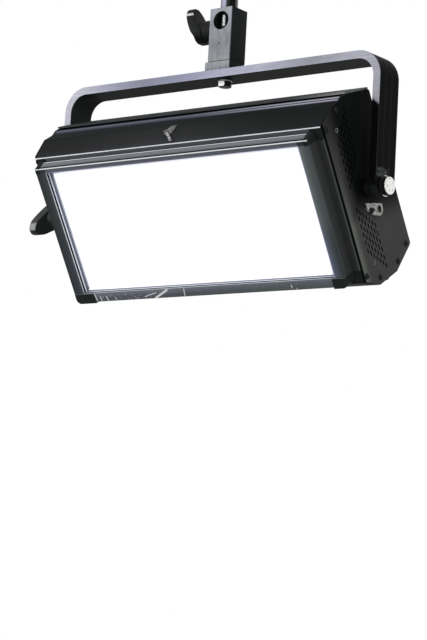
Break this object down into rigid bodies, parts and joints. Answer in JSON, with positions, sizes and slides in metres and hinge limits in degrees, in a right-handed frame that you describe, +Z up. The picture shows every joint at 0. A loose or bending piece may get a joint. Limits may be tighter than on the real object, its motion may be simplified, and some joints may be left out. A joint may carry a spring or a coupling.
{
  "type": "led soft light",
  "caption": "Hanging LED soft light: shallow black housing with a glowing rectangular diffuser, tilting in a flat-bar yoke under a spigot block.",
  "frame": {"origin": "middle of the top face of the hanging spigot pin, on its axis", "axes": "+Z up along the pin, +X along the yoke bar towards the end disc, -Y the way the light faces"},
  "size_m": [0.6985, 0.2706, 0.551],
  "materials": {
    "black_paint": "satin black paint, worn at edges",
    "black_plastic": "fine grain",
    "anodised_bar": "dark anodised, scuffed",
    "zinc": "bright zinc plate",
    "aluminium": "plain",
    "white_paint": "matt white",
    "diffuser": "opal",
    "circuit_board": "solder mask"
  },
  "bodies": {
    "spigot": {"hanging_spigot": "zinc"},
    "yoke": {"spigot_block": "black_paint", "block_foot": "black_paint", "yoke_bolt": "zinc", "yoke_washer": "zinc", "yoke": "anodised_bar", "left_pivot_spacer": "black_plastic", "right_pivot_spacer": "black_plastic", "left_pivot_washer": "zinc", "right_pivot_washer": "zinc"},
    "spigot_lever": {"spigot_lever": "black_plastic", "spigot_lever_stud": "zinc"},
    "tilt_lever": {"tilt_lever": "black_plastic", "tilt_lever_stud": "zinc"},
    "left_fan": {"left_fan_rotor": "black_plastic"},
    "right_fan": {"right_fan_rotor": "black_plastic"},
    "latch": {"latch_arm": "zinc"},
    "dimmer": {"dimmer_knob": "black_plastic"},
    "switch": {"power_switch": "black_plastic"},
    "housing": {"bottom_rail": "black_paint", "bottom_shell": "black_paint", "control_board": "circuit_board", "data_socket_in": "black_plastic", "data_socket_out": "black_plastic", "diffuser": "diffuser", "front_bottom_plate_screw": "black_paint", "front_top_plate_screw": "black_paint", "heat_sink": "aluminium", "latch_plate": "zinc", "latch_screw": "zinc", "left_bottom_corner": "black_plastic", "left_fan_frame": "black_plastic", "left_led_board": "white_paint", "left_pivot_sleeve": "zinc", "left_rail": "black_paint", "left_side_plate": "black_paint", "left_top_corner": "black_plastic", "lower_front_plate_screw": "black_paint", "lower_middle_plate_screw": "black_paint", "lower_rear_plate_screw": "black_paint", "mixing_chamber": "white_paint", "power_inlet": "black_plastic", "power_supply": "aluminium", "rear_cover": "black_paint", "right_bottom_corner": "black_plastic", "right_fan_frame": "black_plastic", "right_led_board": "white_paint", "right_pivot_cap": "aluminium", "right_pivot_nut": "black_paint", "right_pivot_shaft": "zinc", "right_rail": "black_paint", "right_side_plate": "black_paint", "right_top_corner": "black_plastic", "safety_eye": "zinc", "safety_eye_screw": "black_paint", "switch_frame": "black_plastic", "top_rail": "black_paint", "top_shell": "black_paint", "upper_plate_screw": "black_paint"}
  },
  "joints": [
    {"name": "pan", "type": "hinge", "parent": "spigot", "child": "yoke", "pos_m": [0, 0, -0.1], "axis": [0, 0, 1], "continuous": true},
    {"name": "spigot_clamp", "type": "hinge", "parent": "yoke", "child": "spigot_lever", "pos_m": [-0.02225, 0, -0.1123], "axis": [1, 0, 0], "range_deg": [-120, 20]},
    {"name": "tilt_clamp", "type": "hinge", "parent": "yoke", "child": "tilt_lever", "pos_m": [-0.3169, 0, -0.394], "axis": [1, 0, 0], "range_deg": [-120, 20]},
    {"name": "tilt", "type": "hinge", "parent": "yoke", "child": "housing", "pos_m": [0, 0, -0.394], "axis": [1, 0, 0], "range_deg": [-122, 57]},
    {"name": "left_fan_spin", "type": "hinge", "parent": "housing", "child": "left_fan", "pos_m": [-0.105, 0.04914, -0.33938], "axis": [0, 0.8459, 0.5333], "continuous": true},
    {"name": "right_fan_spin", "type": "hinge", "parent": "housing", "child": "right_fan", "pos_m": [0.105, 0.04914, -0.33938], "axis": [0, 0.8459, 0.5333], "continuous": true},
    {"name": "latch_turn", "type": "hinge", "parent": "housing", "child": "latch", "pos_m": [-0.019, -0.11789, -0.30633], "axis": [0, -0.8459, 0.5333], "range_deg": [-45, 100]},
    {"name": "dimmer_turn", "type": "hinge", "parent": "housing", "child": "dimmer", "pos_m": [0.24, 0.05535, -0.34492], "axis": [0, 0.8459, 0.5333], "range_deg": [0, 300]},
    {"name": "switch_rock", "type": "hinge", "parent": "housing", "child": "switch", "pos_m": [0.24, 0.09356, -0.40121], "axis": [1, 0, 0], "range_deg": [-20, 0]}
  ]
}
